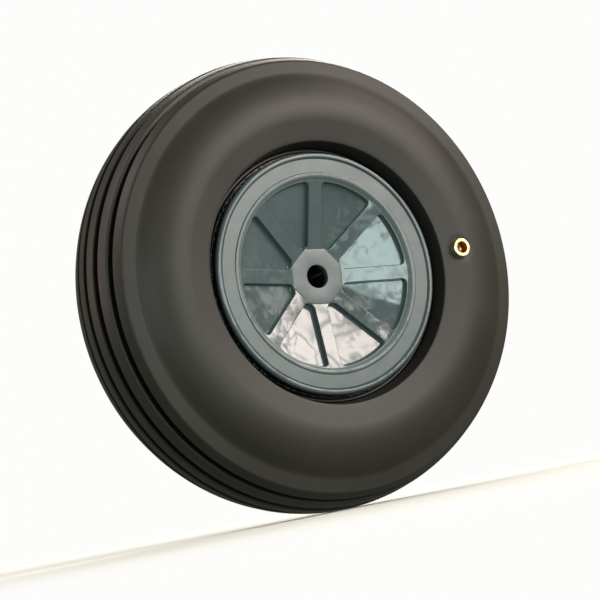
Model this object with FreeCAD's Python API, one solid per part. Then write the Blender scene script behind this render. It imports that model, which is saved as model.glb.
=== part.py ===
import FreeCAD, Part
import math
import os

# Inflatable wheel for a model aircraft, in millimetres.
# The wheel turns about the Y axis. Its valve side, called the front, faces -Y, and +Z is up.
# A section point is given as (radius from the axis, height from the middle plane towards the front).

# Tyre: outside
TYRE_DIAMETER = 95.25
CROWN_ARC = 24.0
TREAD_EDGE_HEIGHT = 11.6
SHOULDER_WIDTH = 3.1
SHOULDER_RISE = 0.6
SIDEWALL_TOP_RADIUS = 34.2
SIDEWALL_TOP_HEIGHT = 16.3
SIDEWALL_FOOT_RADIUS = 26.9
SIDEWALL_FOOT_HEIGHT = 14.0

# Tyre: ribs of the tread
GROOVE_COUNT = 5
GROOVE_PITCH = 4.3
GROOVE_WIDTH = 1.7
GROOVE_FLOOR_WIDTH = 1.3
GROOVE_DEPTH = 1.8

# Tyre: air chamber and bead
TREAD_WALL = 4.0
SIDEWALL_WALL = 2.6
BEAD_WALL = 2.8
BEAD_CHAMBER_HEIGHT = 7.0
CHAMBER_CROWN_HEIGHT = 4.0
CHAMBER_SIDE_STEPS = 4
BEAD_LEDGE_WIDTH = 0.45
BEAD_DITCH_WIDTH = 0.6
BEAD_DITCH_DEPTH = 0.7
BEAD_DITCH_DRAFT = 0.15

# Hub: barrel that carries the tyre, and the flanges that hold it
SEAT_RADIUS = 22.0
BARREL_WALL = 1.6
FLANGE_RADIUS = 24.95
FLANGE_HEIGHT = 12.95
FLANGE_THICKNESS = 1.75
LAP_LENGTH = 2.0
LAP_CLEARANCE = 0.05

# Hub: bead, groove and lip on the flange's face
RIM_BEAD_WIDTH = 1.0
RIM_BEAD_RISE = 0.35
RIM_BEAD_EASE = 0.6
RIM_LINE_WIDTH = 0.35
RIM_LINE_DEPTH = 0.25
LIP_RADIUS = 19.95
LIP_WIDTH = 0.85
LIP_RISE = 0.2
LIP_WALL_DRAFT = 0.6

# Hub: dished web, spokes and boss
SPOKE_COUNT = 8
SPOKE_WIDTH = 3.0
SPOKE_RISE = 1.25
SPOKE_DROP = 0.75
POCKET_LAND = 0.25
POCKET_CORNER = 1.0
POCKET_INNER_CORNER = 0.6
SPOKE_CLOCKING = -5.5
WEB_THICKNESS = 1.5
BOSS_RADIUS = 6.0
BOSS_HEIGHT = 8.8
BOSS_TUBE_RADIUS = 4.8
AXLE_BORE_RADIUS = 2.38
AXLE_BORE_CHAMFER = 0.15
SPIGOT_RADIUS = 3.6
SPIGOT_LENGTH = 3.0
SPIGOT_CLEARANCE = 0.05

# Valve: where it stands in the sidewall
VALVE_OUT_FROM_FOOT = 4.3
VALVE_CLOCKING = 1.9
VALVE_FACE_HEIGHT = 16.2
VALVE_BOSS_RADIUS = 3.3
VALVE_BOSS_LENGTH = 6.6
VALVE_DIMPLE_RADIUS = 3.3
VALVE_DIMPLE_DEPTH = 0.3

# Valve: turned body, depths measured inwards from its mouth
VALVE_BODY_RADIUS = 1.95
VALVE_BODY_LENGTH = 8.4
VALVE_COLLAR_RADIUS = 2.4
VALVE_COLLAR_DEPTH = 4.0
VALVE_COLLAR_LENGTH = 0.8
VALVE_MOUTH_CHAMFER = 0.25
VALVE_SOCKET_RADIUS = 1.175
VALVE_SOCKET_DEPTH = 2.1
VALVE_RELIEF_RADIUS = 1.45
VALVE_RELIEF_DEPTH = 3.0
VALVE_SEAT_HOLE_RADIUS = 0.75
VALVE_SEAT_THICKNESS = 0.6
VALVE_CHAMBER_RADIUS = 1.45

# Valve: moving core, spring and retainer
CORE_STEM_RADIUS = 0.45
CORE_STEM_RISE = 0.8
CORE_HEAD_RADIUS = 1.15
CORE_HEAD_THICKNESS = 0.6
CORE_GUIDE_LENGTH = 2.2
SEAL_THICKNESS = 0.5
SPRING_WIRE_RADIUS = 0.11
SPRING_WIRE_SIDES = 6
SPRING_COIL_RADIUS = 0.85
SPRING_TURNS = 5
SPRING_END_GAP = 0.02
RETAINER_THICKNESS = 0.8
RETAINER_HOLE_RADIUS = 0.7

# Places worked out from the sizes above
VALVE_RADIUS_ON_WHEEL = SIDEWALL_FOOT_RADIUS + VALVE_OUT_FROM_FOOT
TYRE_RADIUS = TYRE_DIAMETER / 2
FLANGE_INNER_HEIGHT = FLANGE_HEIGHT - FLANGE_THICKNESS
SPOKE_OUTER_HEIGHT = FLANGE_HEIGHT - SPOKE_DROP
POCKET_OUTER_RADIUS = LIP_RADIUS - LIP_WALL_DRAFT - POCKET_LAND
SEAL_TOP_DEPTH = VALVE_RELIEF_DEPTH + VALVE_SEAT_THICKNESS
CORE_HEAD_DEPTH = SEAL_TOP_DEPTH + SEAL_THICKNESS
SPRING_TOP_DEPTH = CORE_HEAD_DEPTH + CORE_HEAD_THICKNESS
RETAINER_DEPTH = VALVE_BODY_LENGTH - RETAINER_THICKNESS
FULL_TURN = 360
PICK_TOLERANCE = 0.05
TYRE_SEAM = VALVE_CLOCKING + FULL_TURN / 2
ORIGIN = FreeCAD.Vector(0, 0, 0)
WHEEL_AXIS = FreeCAD.Vector(0, 1, 0)


def section_point(radius, height):
    """Return the point of the section plane at this radius and this height towards the front."""
    return FreeCAD.Vector(radius, -height, 0)


def outline(start, steps):
    """Close a section: each step is a point to draw a line to, or a (through, end) pair for an arc."""
    edges = []
    here = start
    for step in steps + [start]:
        if isinstance(step, tuple):
            through, end = step
            edges.append(Part.Arc(here, through, end).toShape())
        else:
            end = step
            edges.append(Part.LineSegment(here, end).toShape())
        here = end
    return Part.Face(Part.Wire(edges))


def eased(inner, outer, base, rise):
    """Return the points of a low raised ring between two radii, with its two corners broken at 45 degrees."""
    high = base + rise
    return [section_point(inner, base), section_point(inner + rise, high),
            section_point(outer - rise, high), section_point(outer, base)]


def turned(section, seam=0):
    """Turn a section about the wheel's axis, with its seam at this clocking in degrees."""
    solid = section.revolve(ORIGIN, WHEEL_AXIS, FULL_TURN)
    solid.rotate(ORIGIN, WHEEL_AXIS, -seam)
    return solid


def mirrored(shape):
    """Return the shape mirrored through the middle plane."""
    return shape.mirror(ORIGIN, WHEEL_AXIS)


def drum(radius, low, high):
    """Return a plain cylinder about the wheel's axis between two heights."""
    length = high - low
    return Part.makeCylinder(radius, length, section_point(0, high), WHEEL_AXIS)


def crown_radius_at(height):
    """Return the radius of the rounded tread at this height."""
    drop = CROWN_ARC - math.sqrt(CROWN_ARC ** 2 - height ** 2)
    return TYRE_RADIUS - drop


def flip(point):
    """Return a section point mirrored through the middle plane."""
    return FreeCAD.Vector(point.x, -point.y, 0)


def sidewall_points():
    """Return the sidewall arc's foot, top and crease."""
    foot = section_point(SIDEWALL_FOOT_RADIUS, SIDEWALL_FOOT_HEIGHT)
    top = section_point(SIDEWALL_TOP_RADIUS, SIDEWALL_TOP_HEIGHT)
    crease_radius = crown_radius_at(TREAD_EDGE_HEIGHT) - SHOULDER_WIDTH
    crease = section_point(crease_radius, TREAD_EDGE_HEIGHT + SHOULDER_RISE)
    return foot, top, crease


def bead_steps():
    """Return the points of the bead from the hub's seat to the floor of the ditch round the flange."""
    ledge = FLANGE_RADIUS + BEAD_LEDGE_WIDTH
    ditch = ledge + BEAD_DITCH_DRAFT
    floor = FLANGE_INNER_HEIGHT - BEAD_DITCH_DEPTH
    return [section_point(SEAT_RADIUS, FLANGE_INNER_HEIGHT), section_point(ledge, FLANGE_INNER_HEIGHT),
            section_point(ditch, floor), section_point(ditch + BEAD_DITCH_WIDTH, floor)]


def tread_steps():
    """Return the points of the tread from its front edge to its rear edge, down and up each groove."""
    steps = []
    middle = (GROOVE_COUNT - 1) / 2
    rib_from = TREAD_EDGE_HEIGHT
    for number in range(GROOVE_COUNT):
        centre = (middle - number) * GROOVE_PITCH
        floor = crown_radius_at(centre) - GROOVE_DEPTH
        mouth = centre + GROOVE_WIDTH / 2
        rib_middle = (rib_from + mouth) / 2
        steps += [section_point(crown_radius_at(height), height) for height in (rib_from, rib_middle, mouth)]
        steps += [section_point(floor, centre + side * GROOVE_FLOOR_WIDTH / 2) for side in (1, -1)]
        rib_from = centre - GROOVE_WIDTH / 2
    steps += [section_point(crown_radius_at(height), height) for height in (rib_from, -TREAD_EDGE_HEIGHT)]
    return steps


def tyre_outside():
    """Return the solid that fills the tyre's outer form, down to the hub's seat."""
    foot, top, crease = sidewall_points()
    bead = bead_steps()
    steps = bead[1:] + [foot, (top, crease)] + tread_steps()
    steps += [flip(crease), (flip(top), flip(foot))] + [flip(point) for point in reversed(bead)]
    return turned(outline(bead[0], steps), TYRE_SEAM)


def sidewall_circle():
    """Return the circle that the sidewall's bulge follows."""
    return Part.Circle(*sidewall_points())


def air_chamber():
    """Return the ring of air inside the tyre, its sides following the sidewalls' bulge."""
    circle = sidewall_circle()
    ends = [point - circle.Center for point in (sidewall_points()[0], sidewall_points()[2])]
    first, last = [math.atan2(end.y, end.x) for end in ends]
    side = []
    for number in range(CHAMBER_SIDE_STEPS + 1):
        angle = first + (last - first) * number / CHAMBER_SIDE_STEPS
        out = FreeCAD.Vector(math.cos(angle), math.sin(angle), 0)
        side.append(circle.Center + out * (circle.Radius - SIDEWALL_WALL))
    corner = section_point(SEAT_RADIUS + BEAD_WALL, BEAD_CHAMBER_HEIGHT)
    half = [corner] + side + [section_point(TYRE_RADIUS - TREAD_WALL, CHAMBER_CROWN_HEIGHT)]
    return turned(outline(corner, half[1:] + [flip(point) for point in reversed(half)]), TYRE_SEAM)


def valve_point(depth):
    """Return the point on the valve's axis at this depth below its mouth."""
    angle = math.radians(VALVE_CLOCKING)
    side = VALVE_RADIUS_ON_WHEEL * math.cos(angle)
    up = VALVE_RADIUS_ON_WHEEL * math.sin(angle)
    return FreeCAD.Vector(side, depth - VALVE_FACE_HEIGHT, up)


def valve_rod(radius, depth, length):
    """Return a cylinder on the valve's axis that starts at this depth."""
    return Part.makeCylinder(radius, length, valve_point(depth), WHEEL_AXIS)


def valve_ring(outer, inner, depth, length):
    """Return a tube on the valve's axis that starts at this depth."""
    return valve_rod(outer, depth, length).cut(valve_rod(inner, depth, length))


def valve_dimple():
    """Return the shallow cone sunk into the sidewall round the valve, run on past the surface to clear it."""
    circle = sidewall_circle()
    across = VALVE_RADIUS_ON_WHEEL - circle.Center.x
    surface = -circle.Center.y + math.sqrt(circle.Radius ** 2 - across ** 2)
    floor_depth = VALVE_FACE_HEIGHT - surface + VALVE_DIMPLE_DEPTH
    slope = VALVE_DIMPLE_DEPTH / (VALVE_DIMPLE_RADIUS - VALVE_BODY_RADIUS)
    height = slope * VALVE_DIMPLE_RADIUS
    wide = VALVE_BODY_RADIUS + VALVE_DIMPLE_RADIUS
    return Part.makeCone(wide, VALVE_BODY_RADIUS, height, valve_point(floor_depth - height), WHEEL_AXIS)


def valve_envelope():
    """Return the outside of the valve body, which is also the hole it fills in the tyre."""
    barrel = valve_rod(VALVE_BODY_RADIUS, 0, VALVE_BODY_LENGTH)
    collar = valve_rod(VALVE_COLLAR_RADIUS, VALVE_COLLAR_DEPTH, VALVE_COLLAR_LENGTH)
    return barrel.fuse(collar).removeSplitter()


def make_tyre():
    """Hollow rubber tyre with ribbed tread, creased shoulders and a boss for the valve."""
    tyre = tyre_outside().cut(air_chamber())
    boss_start = VALVE_BODY_LENGTH - VALVE_BOSS_LENGTH
    boss = valve_rod(VALVE_BOSS_RADIUS, boss_start, VALVE_BOSS_LENGTH)
    tyre = tyre.fuse(boss)
    tyre = tyre.cut(valve_dimple())
    return tyre.cut(valve_envelope())


def spoke_line_height(radius):
    """Return the height of the spokes' sloping tops at this radius."""
    share = (radius - BOSS_RADIUS) / (POCKET_OUTER_RADIUS - BOSS_RADIUS)
    return BOSS_HEIGHT + share * (SPOKE_OUTER_HEIGHT - BOSS_HEIGHT)


def rim_steps():
    """Return the steps of the flange's face, from the foot of the lip's wall out to the flange's edge."""
    lip = eased(LIP_RADIUS, LIP_RADIUS + LIP_WIDTH, FLANGE_HEIGHT, LIP_RISE)
    crest = FLANGE_HEIGHT + RIM_BEAD_RISE
    bead_in = FLANGE_RADIUS - RIM_BEAD_WIDTH
    line_in = section_point(bead_in - RIM_LINE_WIDTH, FLANGE_HEIGHT)
    line_floor = section_point(bead_in - RIM_LINE_WIDTH / 2, FLANGE_HEIGHT - RIM_LINE_DEPTH)
    bead = [section_point(bead_in, crest), section_point(FLANGE_RADIUS - RIM_BEAD_EASE, crest),
            section_point(FLANGE_RADIUS, crest - RIM_BEAD_EASE)]
    return lip + [line_in, line_floor] + bead


def hub_half_section(barrel_end):
    """Return the section of half a hub down to the middle plane, plus the steps that end its barrel."""
    web_depth = SPOKE_RISE + WEB_THICKNESS
    bore_mouth = section_point(AXLE_BORE_RADIUS + AXLE_BORE_CHAMFER, BOSS_HEIGHT)
    bore_edge = section_point(AXLE_BORE_RADIUS, BOSS_HEIGHT - AXLE_BORE_CHAMFER)
    barrel_inner = SEAT_RADIUS - BARREL_WALL
    steps = [bore_mouth, section_point(BOSS_RADIUS, BOSS_HEIGHT)]
    steps += [section_point(POCKET_OUTER_RADIUS, SPOKE_OUTER_HEIGHT)]
    steps += [section_point(LIP_RADIUS - LIP_WALL_DRAFT, SPOKE_OUTER_HEIGHT)]
    steps += rim_steps()
    steps += [section_point(FLANGE_RADIUS, FLANGE_INNER_HEIGHT)]
    steps += [section_point(SEAT_RADIUS, FLANGE_INNER_HEIGHT)]
    steps += barrel_end
    steps += [section_point(barrel_inner, spoke_line_height(barrel_inner) - web_depth)]
    steps += [section_point(BOSS_TUBE_RADIUS, spoke_line_height(BOSS_TUBE_RADIUS) - web_depth)]
    steps += [section_point(BOSS_TUBE_RADIUS, 0), section_point(AXLE_BORE_RADIUS, 0)]
    return outline(bore_edge, steps)


def pocket_floor_keeper():
    """Return the solid above the pockets' sloping floor, which limits how deep the pockets are cut."""
    over = FLANGE_HEIGHT + FLANGE_THICKNESS
    inner = section_point(BOSS_TUBE_RADIUS, spoke_line_height(BOSS_TUBE_RADIUS) - SPOKE_RISE)
    outer = section_point(SEAT_RADIUS, spoke_line_height(SEAT_RADIUS) - SPOKE_RISE)
    top_outer = section_point(SEAT_RADIUS, over)
    top_inner = section_point(BOSS_TUBE_RADIUS, over)
    return turned(outline(inner, [outer, top_outer, top_inner]))


def spoke_bar(number):
    """Return the bar that one spoke keeps clear of the pockets."""
    over = FLANGE_HEIGHT + FLANGE_THICKNESS
    corner = FreeCAD.Vector(0, -over, -SPOKE_WIDTH / 2)
    bar = Part.makeBox(FLANGE_RADIUS, over, SPOKE_WIDTH, corner)
    bar.rotate(ORIGIN, WHEEL_AXIS, number * FULL_TURN / SPOKE_COUNT)
    return bar


def upright_edges(solid, radius):
    """Return the solid's straight edges along the axis that stand at this radius."""
    found = []
    for edge in solid.Edges:
        box = edge.BoundBox
        upright = max(box.XLength, box.ZLength) < PICK_TOLERANCE
        if upright and abs(math.hypot(box.Center.x, box.Center.z) - radius) < PICK_TOLERANCE:
            found.append(edge)
    return found


def pocket_cutters():
    """Return the pockets between the spokes, with rounded corners and a sloping floor."""
    over = FLANGE_HEIGHT + FLANGE_THICKNESS
    ring = drum(POCKET_OUTER_RADIUS, 0, over).cut(drum(BOSS_RADIUS, 0, over))
    for number in range(SPOKE_COUNT):
        ring = ring.cut(spoke_bar(number))
    keeper = pocket_floor_keeper()
    cutters = []
    for pocket in ring.Solids:
        pocket = pocket.makeFillet(POCKET_CORNER, upright_edges(pocket, POCKET_OUTER_RADIUS))
        pocket = pocket.makeFillet(POCKET_INNER_CORNER, upright_edges(pocket, BOSS_RADIUS))
        cutters.append(pocket.common(keeper))
    return cutters


def hub_half(barrel_end):
    """Return half a hub, front side up, with its pockets cut."""
    half = turned(hub_half_section(barrel_end))
    for cutter in pocket_cutters():
        half = half.cut(cutter)
    half.rotate(ORIGIN, WHEEL_AXIS, -SPOKE_CLOCKING)
    return half


def make_front_hub():
    """Front half: its barrel laps over the rear one, and its spigot enters the rear boss."""
    lap_radius = SEAT_RADIUS - BARREL_WALL / 2
    barrel_inner = SEAT_RADIUS - BARREL_WALL
    barrel_end = [section_point(SEAT_RADIUS, -LAP_LENGTH), section_point(lap_radius, -LAP_LENGTH)]
    barrel_end += [section_point(lap_radius, 0), section_point(barrel_inner, 0)]
    spigot = drum(SPIGOT_RADIUS, -SPIGOT_LENGTH, 0).cut(drum(AXLE_BORE_RADIUS, -SPIGOT_LENGTH, 0))
    return hub_half(barrel_end).fuse(spigot).removeSplitter()


def make_rear_hub():
    """Rear half: its barrel goes inside the front one, and its boss has a socket for the spigot."""
    lap_end = LAP_LENGTH + LAP_CLEARANCE
    lap_radius = SEAT_RADIUS - BARREL_WALL / 2 - LAP_CLEARANCE
    barrel_inner = SEAT_RADIUS - BARREL_WALL
    barrel_end = [section_point(SEAT_RADIUS, lap_end), section_point(lap_radius, lap_end)]
    barrel_end += [section_point(lap_radius, 0), section_point(barrel_inner, 0)]
    half = hub_half(barrel_end)
    socket = drum(SPIGOT_RADIUS + SPIGOT_CLEARANCE, 0, SPIGOT_LENGTH + SPIGOT_CLEARANCE)
    return mirrored(half.cut(socket))


def make_valve_body():
    """Turned brass body with a socket for the pump's tip, a seat and a chamber for the core."""
    body = valve_envelope()
    relief_length = VALVE_RELIEF_DEPTH - VALVE_SOCKET_DEPTH
    body = body.cut(valve_rod(VALVE_SOCKET_RADIUS, 0, VALVE_SOCKET_DEPTH))
    body = body.cut(valve_rod(VALVE_RELIEF_RADIUS, VALVE_SOCKET_DEPTH, relief_length))
    body = body.cut(valve_rod(VALVE_SEAT_HOLE_RADIUS, 0, VALVE_BODY_LENGTH))
    body = body.cut(valve_rod(VALVE_CHAMBER_RADIUS, SEAL_TOP_DEPTH, VALVE_BODY_LENGTH))
    mouth = [edge for edge in body.Edges if abs(edge.BoundBox.YMax + VALVE_FACE_HEIGHT) < PICK_TOLERANCE]
    return body.makeChamfer(VALVE_MOUTH_CHAMFER, mouth)


def make_valve_poppet():
    """Brass poppet: a stem through the seat, a head, and a guide inside the spring."""
    stem_top = VALVE_RELIEF_DEPTH - CORE_STEM_RISE
    stem_length = SPRING_TOP_DEPTH + CORE_GUIDE_LENGTH - stem_top
    stem = valve_rod(CORE_STEM_RADIUS, stem_top, stem_length)
    head = valve_rod(CORE_HEAD_RADIUS, CORE_HEAD_DEPTH, CORE_HEAD_THICKNESS)
    return stem.fuse(head).removeSplitter()


def make_valve_seal():
    """Rubber washer on the poppet's stem that closes against the seat."""
    return valve_ring(CORE_HEAD_RADIUS, CORE_STEM_RADIUS, SEAL_TOP_DEPTH, SEAL_THICKNESS)


def make_valve_spring():
    """Coil spring between the poppet's head and the retainer."""
    low = SPRING_TOP_DEPTH + SPRING_WIRE_RADIUS + SPRING_END_GAP
    length = RETAINER_DEPTH - SPRING_WIRE_RADIUS - SPRING_END_GAP - low
    helix = Part.makeHelix(length / SPRING_TURNS, length, SPRING_COIL_RADIUS)
    corners = []
    for number in range(SPRING_WIRE_SIDES + 1):
        angle = math.radians(number * FULL_TURN / SPRING_WIRE_SIDES)
        out = SPRING_COIL_RADIUS + SPRING_WIRE_RADIUS * math.cos(angle)
        corners.append(FreeCAD.Vector(out, 0, SPRING_WIRE_RADIUS * math.sin(angle)))
    spring = Part.Wire(helix).makePipeShell([Part.makePolygon(corners)], True, False)
    spring.rotate(ORIGIN, FreeCAD.Vector(1, 0, 0), -FULL_TURN / 4)
    spring.translate(valve_point(low))
    return spring


def make_valve_retainer():
    """Brass ring pressed into the end of the chamber, which the spring stands on."""
    return valve_ring(VALVE_CHAMBER_RADIUS, RETAINER_HOLE_RADIUS, RETAINER_DEPTH, RETAINER_THICKNESS)


PIECES = {
    "tyre": make_tyre,
    "front_hub": make_front_hub,
    "rear_hub": make_rear_hub,
    "valve_body": make_valve_body,
    "valve_poppet": make_valve_poppet,
    "valve_seal": make_valve_seal,
    "valve_spring": make_valve_spring,
    "valve_retainer": make_valve_retainer,
}


def main():
    """Write one STEP file for each piece."""
    os.makedirs("parts", exist_ok=True)
    for name, make in PIECES.items():
        shape = make()
        shape.exportStep(os.path.join("parts", name + ".step"))
        print(name, "valid" if shape.isValid() else "NOT VALID", len(shape.Solids), round(shape.Volume, 2))


main()
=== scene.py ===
import logging
import math
from dataclasses import dataclass, field
from enum import Enum
from typing import Any, Callable, Iterable, Sequence

import bpy
from mathutils import Matrix, Vector


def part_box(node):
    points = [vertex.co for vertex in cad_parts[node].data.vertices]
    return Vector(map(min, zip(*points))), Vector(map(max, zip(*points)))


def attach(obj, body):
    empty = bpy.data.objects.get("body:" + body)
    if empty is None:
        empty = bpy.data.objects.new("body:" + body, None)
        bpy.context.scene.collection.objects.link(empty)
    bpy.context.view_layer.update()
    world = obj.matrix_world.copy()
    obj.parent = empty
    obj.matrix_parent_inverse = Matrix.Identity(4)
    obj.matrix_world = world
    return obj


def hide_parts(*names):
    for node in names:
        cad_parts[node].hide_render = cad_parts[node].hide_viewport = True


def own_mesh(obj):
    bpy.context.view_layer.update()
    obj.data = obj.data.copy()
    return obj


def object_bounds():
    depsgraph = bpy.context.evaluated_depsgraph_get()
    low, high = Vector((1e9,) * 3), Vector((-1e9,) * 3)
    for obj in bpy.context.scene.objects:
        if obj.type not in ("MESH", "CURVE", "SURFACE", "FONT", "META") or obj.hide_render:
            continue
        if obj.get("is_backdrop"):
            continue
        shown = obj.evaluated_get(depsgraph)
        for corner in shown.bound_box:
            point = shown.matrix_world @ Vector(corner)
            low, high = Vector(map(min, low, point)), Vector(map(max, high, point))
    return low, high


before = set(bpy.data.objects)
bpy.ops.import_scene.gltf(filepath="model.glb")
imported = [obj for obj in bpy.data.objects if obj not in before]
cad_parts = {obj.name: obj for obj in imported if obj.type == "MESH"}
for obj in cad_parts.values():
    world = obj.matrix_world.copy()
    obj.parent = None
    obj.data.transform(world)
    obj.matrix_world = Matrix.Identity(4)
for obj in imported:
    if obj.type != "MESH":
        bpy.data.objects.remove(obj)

log = logging.getLogger("wheel")

Piece = bpy.types.Object
Tree = bpy.types.NodeTree
Socket = bpy.types.NodeSocket

MM = 0.001
FULL_TURN = 2 * math.pi
CIRCLE = 360  # the same in degrees
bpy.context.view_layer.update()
FINE = 1e-7  # metres, under which two points are the same
UPRIGHT = 0.7  # share of a face's normal along the axis, past which it counts as a top
WAVE_RATE = 3.2  # waves that the wave texture draws in a unit of length at scale 1


class Side(Enum):
    """The two faces of the wheel; the valve is in the front one."""

    FRONT = "front"
    REAR = "rear"


class Body(Enum):
    """The rigid bodies that pieces ride on."""

    WHEEL = "wheel"
    CORE = "valve_core"


class Slot(Enum):
    """Names of material slots; the valve's list gives one for each of its pieces, but nothing reads them."""

    TYRE = "tyre_rubber"
    HUB = "hub_nylon"
    BRASS = "valve_brass"
    SEAL = "seal_rubber"
    SPRING = "spring_steel"


@dataclass(frozen=True)
class Corner:
    """A corner of a turned section, in millimetres.

    Args:
        radius: Distance from the axis.
        height: Distance from the middle plane, towards the front.
        ease: How far from the corner its rounding starts; none where zero.
        steps: How many edges the rounding has.
    """

    radius: float
    height: float
    ease: float = 0.0
    steps: int = 4

    def point(self) -> Vector:
        """Return the corner's place in the section plane, in metres."""
        return Vector((self.radius * MM, -self.height * MM, 0.0))


# ---------------------------------------------------------------- modelling by hand


def deselect_all() -> None:
    """Leave edit mode and deselect every object, the loaded ones included."""
    if bpy.context.object is not None and bpy.context.object.mode == "EDIT":
        bpy.ops.object.mode_set(mode="OBJECT")
    bpy.ops.object.select_all(action="DESELECT")


def make_active(piece: Piece) -> None:
    """Select an object alone and make it the active one.

    Args:
        piece: The object.
    """
    deselect_all()
    piece.select_set(True)
    bpy.context.view_layer.objects.active = piece


def select_where(piece: Piece, mode: str, test: Callable[[Any], bool]) -> None:
    """Select the elements of a mesh that pass a test, and go into edit mode.

    Args:
        piece: The object to work on.
        mode: "VERT", "EDGE" or "FACE".
        test: Takes a vertex, an edge or a face of the mesh.
    """
    make_active(piece)
    bpy.ops.object.mode_set(mode="EDIT")
    bpy.ops.mesh.select_mode(type=mode)
    bpy.ops.mesh.select_all(action="DESELECT")
    bpy.ops.object.mode_set(mode="OBJECT")
    mesh = piece.data
    elements = {"VERT": mesh.vertices, "EDGE": mesh.edges, "FACE": mesh.polygons}[mode]
    for element in elements:
        if test(element):
            element.select = True
    bpy.ops.object.mode_set(mode="EDIT")


def apply_modifier(piece: Piece, kind: str, **settings: Any) -> None:
    """Add a modifier and apply it at once.

    Args:
        piece: The object it works on.
        kind: The modifier's type.
        **settings: Its settings by name.
    """
    make_active(piece)
    modifier = piece.modifiers.new(kind.title(), kind)
    for name, value in settings.items():
        setattr(modifier, name, value)
    bpy.ops.object.modifier_apply(modifier=modifier.name)


def combine(piece: Piece, tool: Piece, operation: str) -> None:
    """Unite a piece with a tool solid or cut the tool from it, then delete the tool."""
    apply_modifier(piece, "BOOLEAN", operation=operation, object=tool, solver="EXACT")
    bpy.data.objects.remove(tool, do_unlink=True)


def draw_loop(name: str, corners: Sequence[Corner]) -> Piece:
    """Draw a closed outline by extruding one point from corner to corner, then round its corners.

    Args:
        name: The new object's name.
        corners: The outline's corners in order.

    Returns:
        An object that holds the outline's edges.
    """
    deselect_all()
    bpy.ops.mesh.primitive_plane_add(size=MM)
    piece = bpy.context.object
    piece.name = name
    bpy.ops.object.mode_set(mode="EDIT")
    bpy.ops.mesh.select_mode(type="VERT")
    bpy.ops.mesh.select_all(action="SELECT")
    bpy.ops.mesh.merge(type="CENTER")
    bpy.ops.transform.translate(value=corners[0].point())
    for here, there in zip(corners, corners[1:]):
        bpy.ops.mesh.extrude_vertices_move(TRANSFORM_OT_translate={"value": there.point() - here.point()})
    ends = (corners[0].point(), corners[-1].point())
    select_where(piece, "VERT", lambda vert: min((vert.co - end).length for end in ends) < FINE)
    bpy.ops.mesh.edge_face_add()
    for ease, steps in sorted({(corner.ease, corner.steps) for corner in corners if corner.ease > 0}):
        places = [corner.point() for corner in corners if (corner.ease, corner.steps) == (ease, steps)]
        select_where(piece, "VERT", lambda vert: min((vert.co - place).length for place in places) < FINE)
        bpy.ops.mesh.bevel(offset_type="OFFSET", offset=ease * MM, segments=steps, affect="VERTICES")
    bpy.ops.object.mode_set(mode="OBJECT")
    return piece


def face_outwards(piece: Piece) -> None:
    """Merge doubled points and make every face point outwards.

    Args:
        piece: The object to put in order.
    """
    make_active(piece)
    bpy.ops.object.mode_set(mode="EDIT")
    bpy.ops.mesh.select_all(action="SELECT")
    bpy.ops.mesh.remove_doubles(threshold=FINE)
    bpy.ops.mesh.normals_make_consistent(inside=False)
    bpy.ops.object.mode_set(mode="OBJECT")


def turn_section(name: str, corners: Sequence[Corner], steps: int) -> Piece:
    """Draw a section and spin it once round the wheel's axis.

    Args:
        name: The new object's name.
        corners: The section's corners in order.
        steps: How many steps the spin takes.

    Returns:
        The turned solid.
    """
    piece = draw_loop(name, corners)
    make_active(piece)
    bpy.ops.object.mode_set(mode="EDIT")
    bpy.ops.mesh.select_all(action="SELECT")
    bpy.ops.mesh.spin(steps=steps, angle=FULL_TURN, center=(0, 0, 0), axis=(0, 1, 0))
    bpy.ops.object.mode_set(mode="OBJECT")
    face_outwards(piece)
    return piece


def place(piece: Piece, turn: float = 0.0, shift: Sequence[float] = (0, 0, 0)) -> None:
    """Turn a piece about the wheel's axis and shift it, with its place kept in its mesh.

    Args:
        piece: The object to place.
        turn: Clocking in degrees, from +X towards +Z.
        shift: How far it moves after that, in metres.
    """
    matrix = Matrix.Translation(Vector(shift)) @ Matrix.Rotation(-math.radians(turn), 4, "Y")
    piece.data.transform(matrix)


def smooth(piece: Piece, angle: float) -> None:
    """Shade a piece smooth, except across edges sharper than this angle in degrees."""
    make_active(piece)
    bpy.ops.object.shade_smooth_by_angle(angle=math.radians(angle))


def arc(centre: tuple[float, float], radius: float, first: float, last: float, steps: int) -> list[Corner]:
    """Return corners along an arc of a section.

    Args:
        centre: The arc's centre as (radius, height) in millimetres.
        radius: The arc's own radius.
        first: Angle of its first point in degrees, from the outward radius towards the front.
        last: Angle of its last point.
        steps: How many edges the arc has.

    Returns:
        The arc's points in order, ends included.
    """
    angles = [math.radians(first + (last - first) * number / steps) for number in range(steps + 1)]
    return [Corner(centre[0] + radius * math.cos(a), centre[1] + radius * math.sin(a)) for a in angles]


def mirrored(corners: Iterable[Corner]) -> list[Corner]:
    """Return corners mirrored through the middle plane, in the opposite order."""
    return [Corner(c.radius, -c.height, c.ease, c.steps) for c in reversed(list(corners))]


# ---------------------------------------------------------------- finishes


def direction(azimuth: float, elevation: float) -> Vector:
    """Return the unit vector at an azimuth and elevation in degrees; azimuth 0 is straight in front."""
    a, e = math.radians(azimuth), math.radians(elevation)
    return Vector((math.sin(a) * math.cos(e), -math.cos(a) * math.cos(e), math.sin(e)))


def colour(hexcode: str) -> tuple[float, float, float, float]:
    """Turn an sRGB hex value into a linear colour.

    Args:
        hexcode: The value, such as "#6B625C".

    Returns:
        Linear red, green, blue and alpha.
    """
    parts = [int(hexcode[start : start + 2], 16) / 255 for start in (1, 3, 5)]
    linear = [part / 12.92 if part <= 0.04045 else ((part + 0.055) / 1.055) ** 2.4 for part in parts]
    return (*linear, 1.0)


def grey(value: float) -> tuple[float, float, float, float]:
    """Return a neutral colour of this linear value."""
    return (value, value, value, 1.0)


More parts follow.
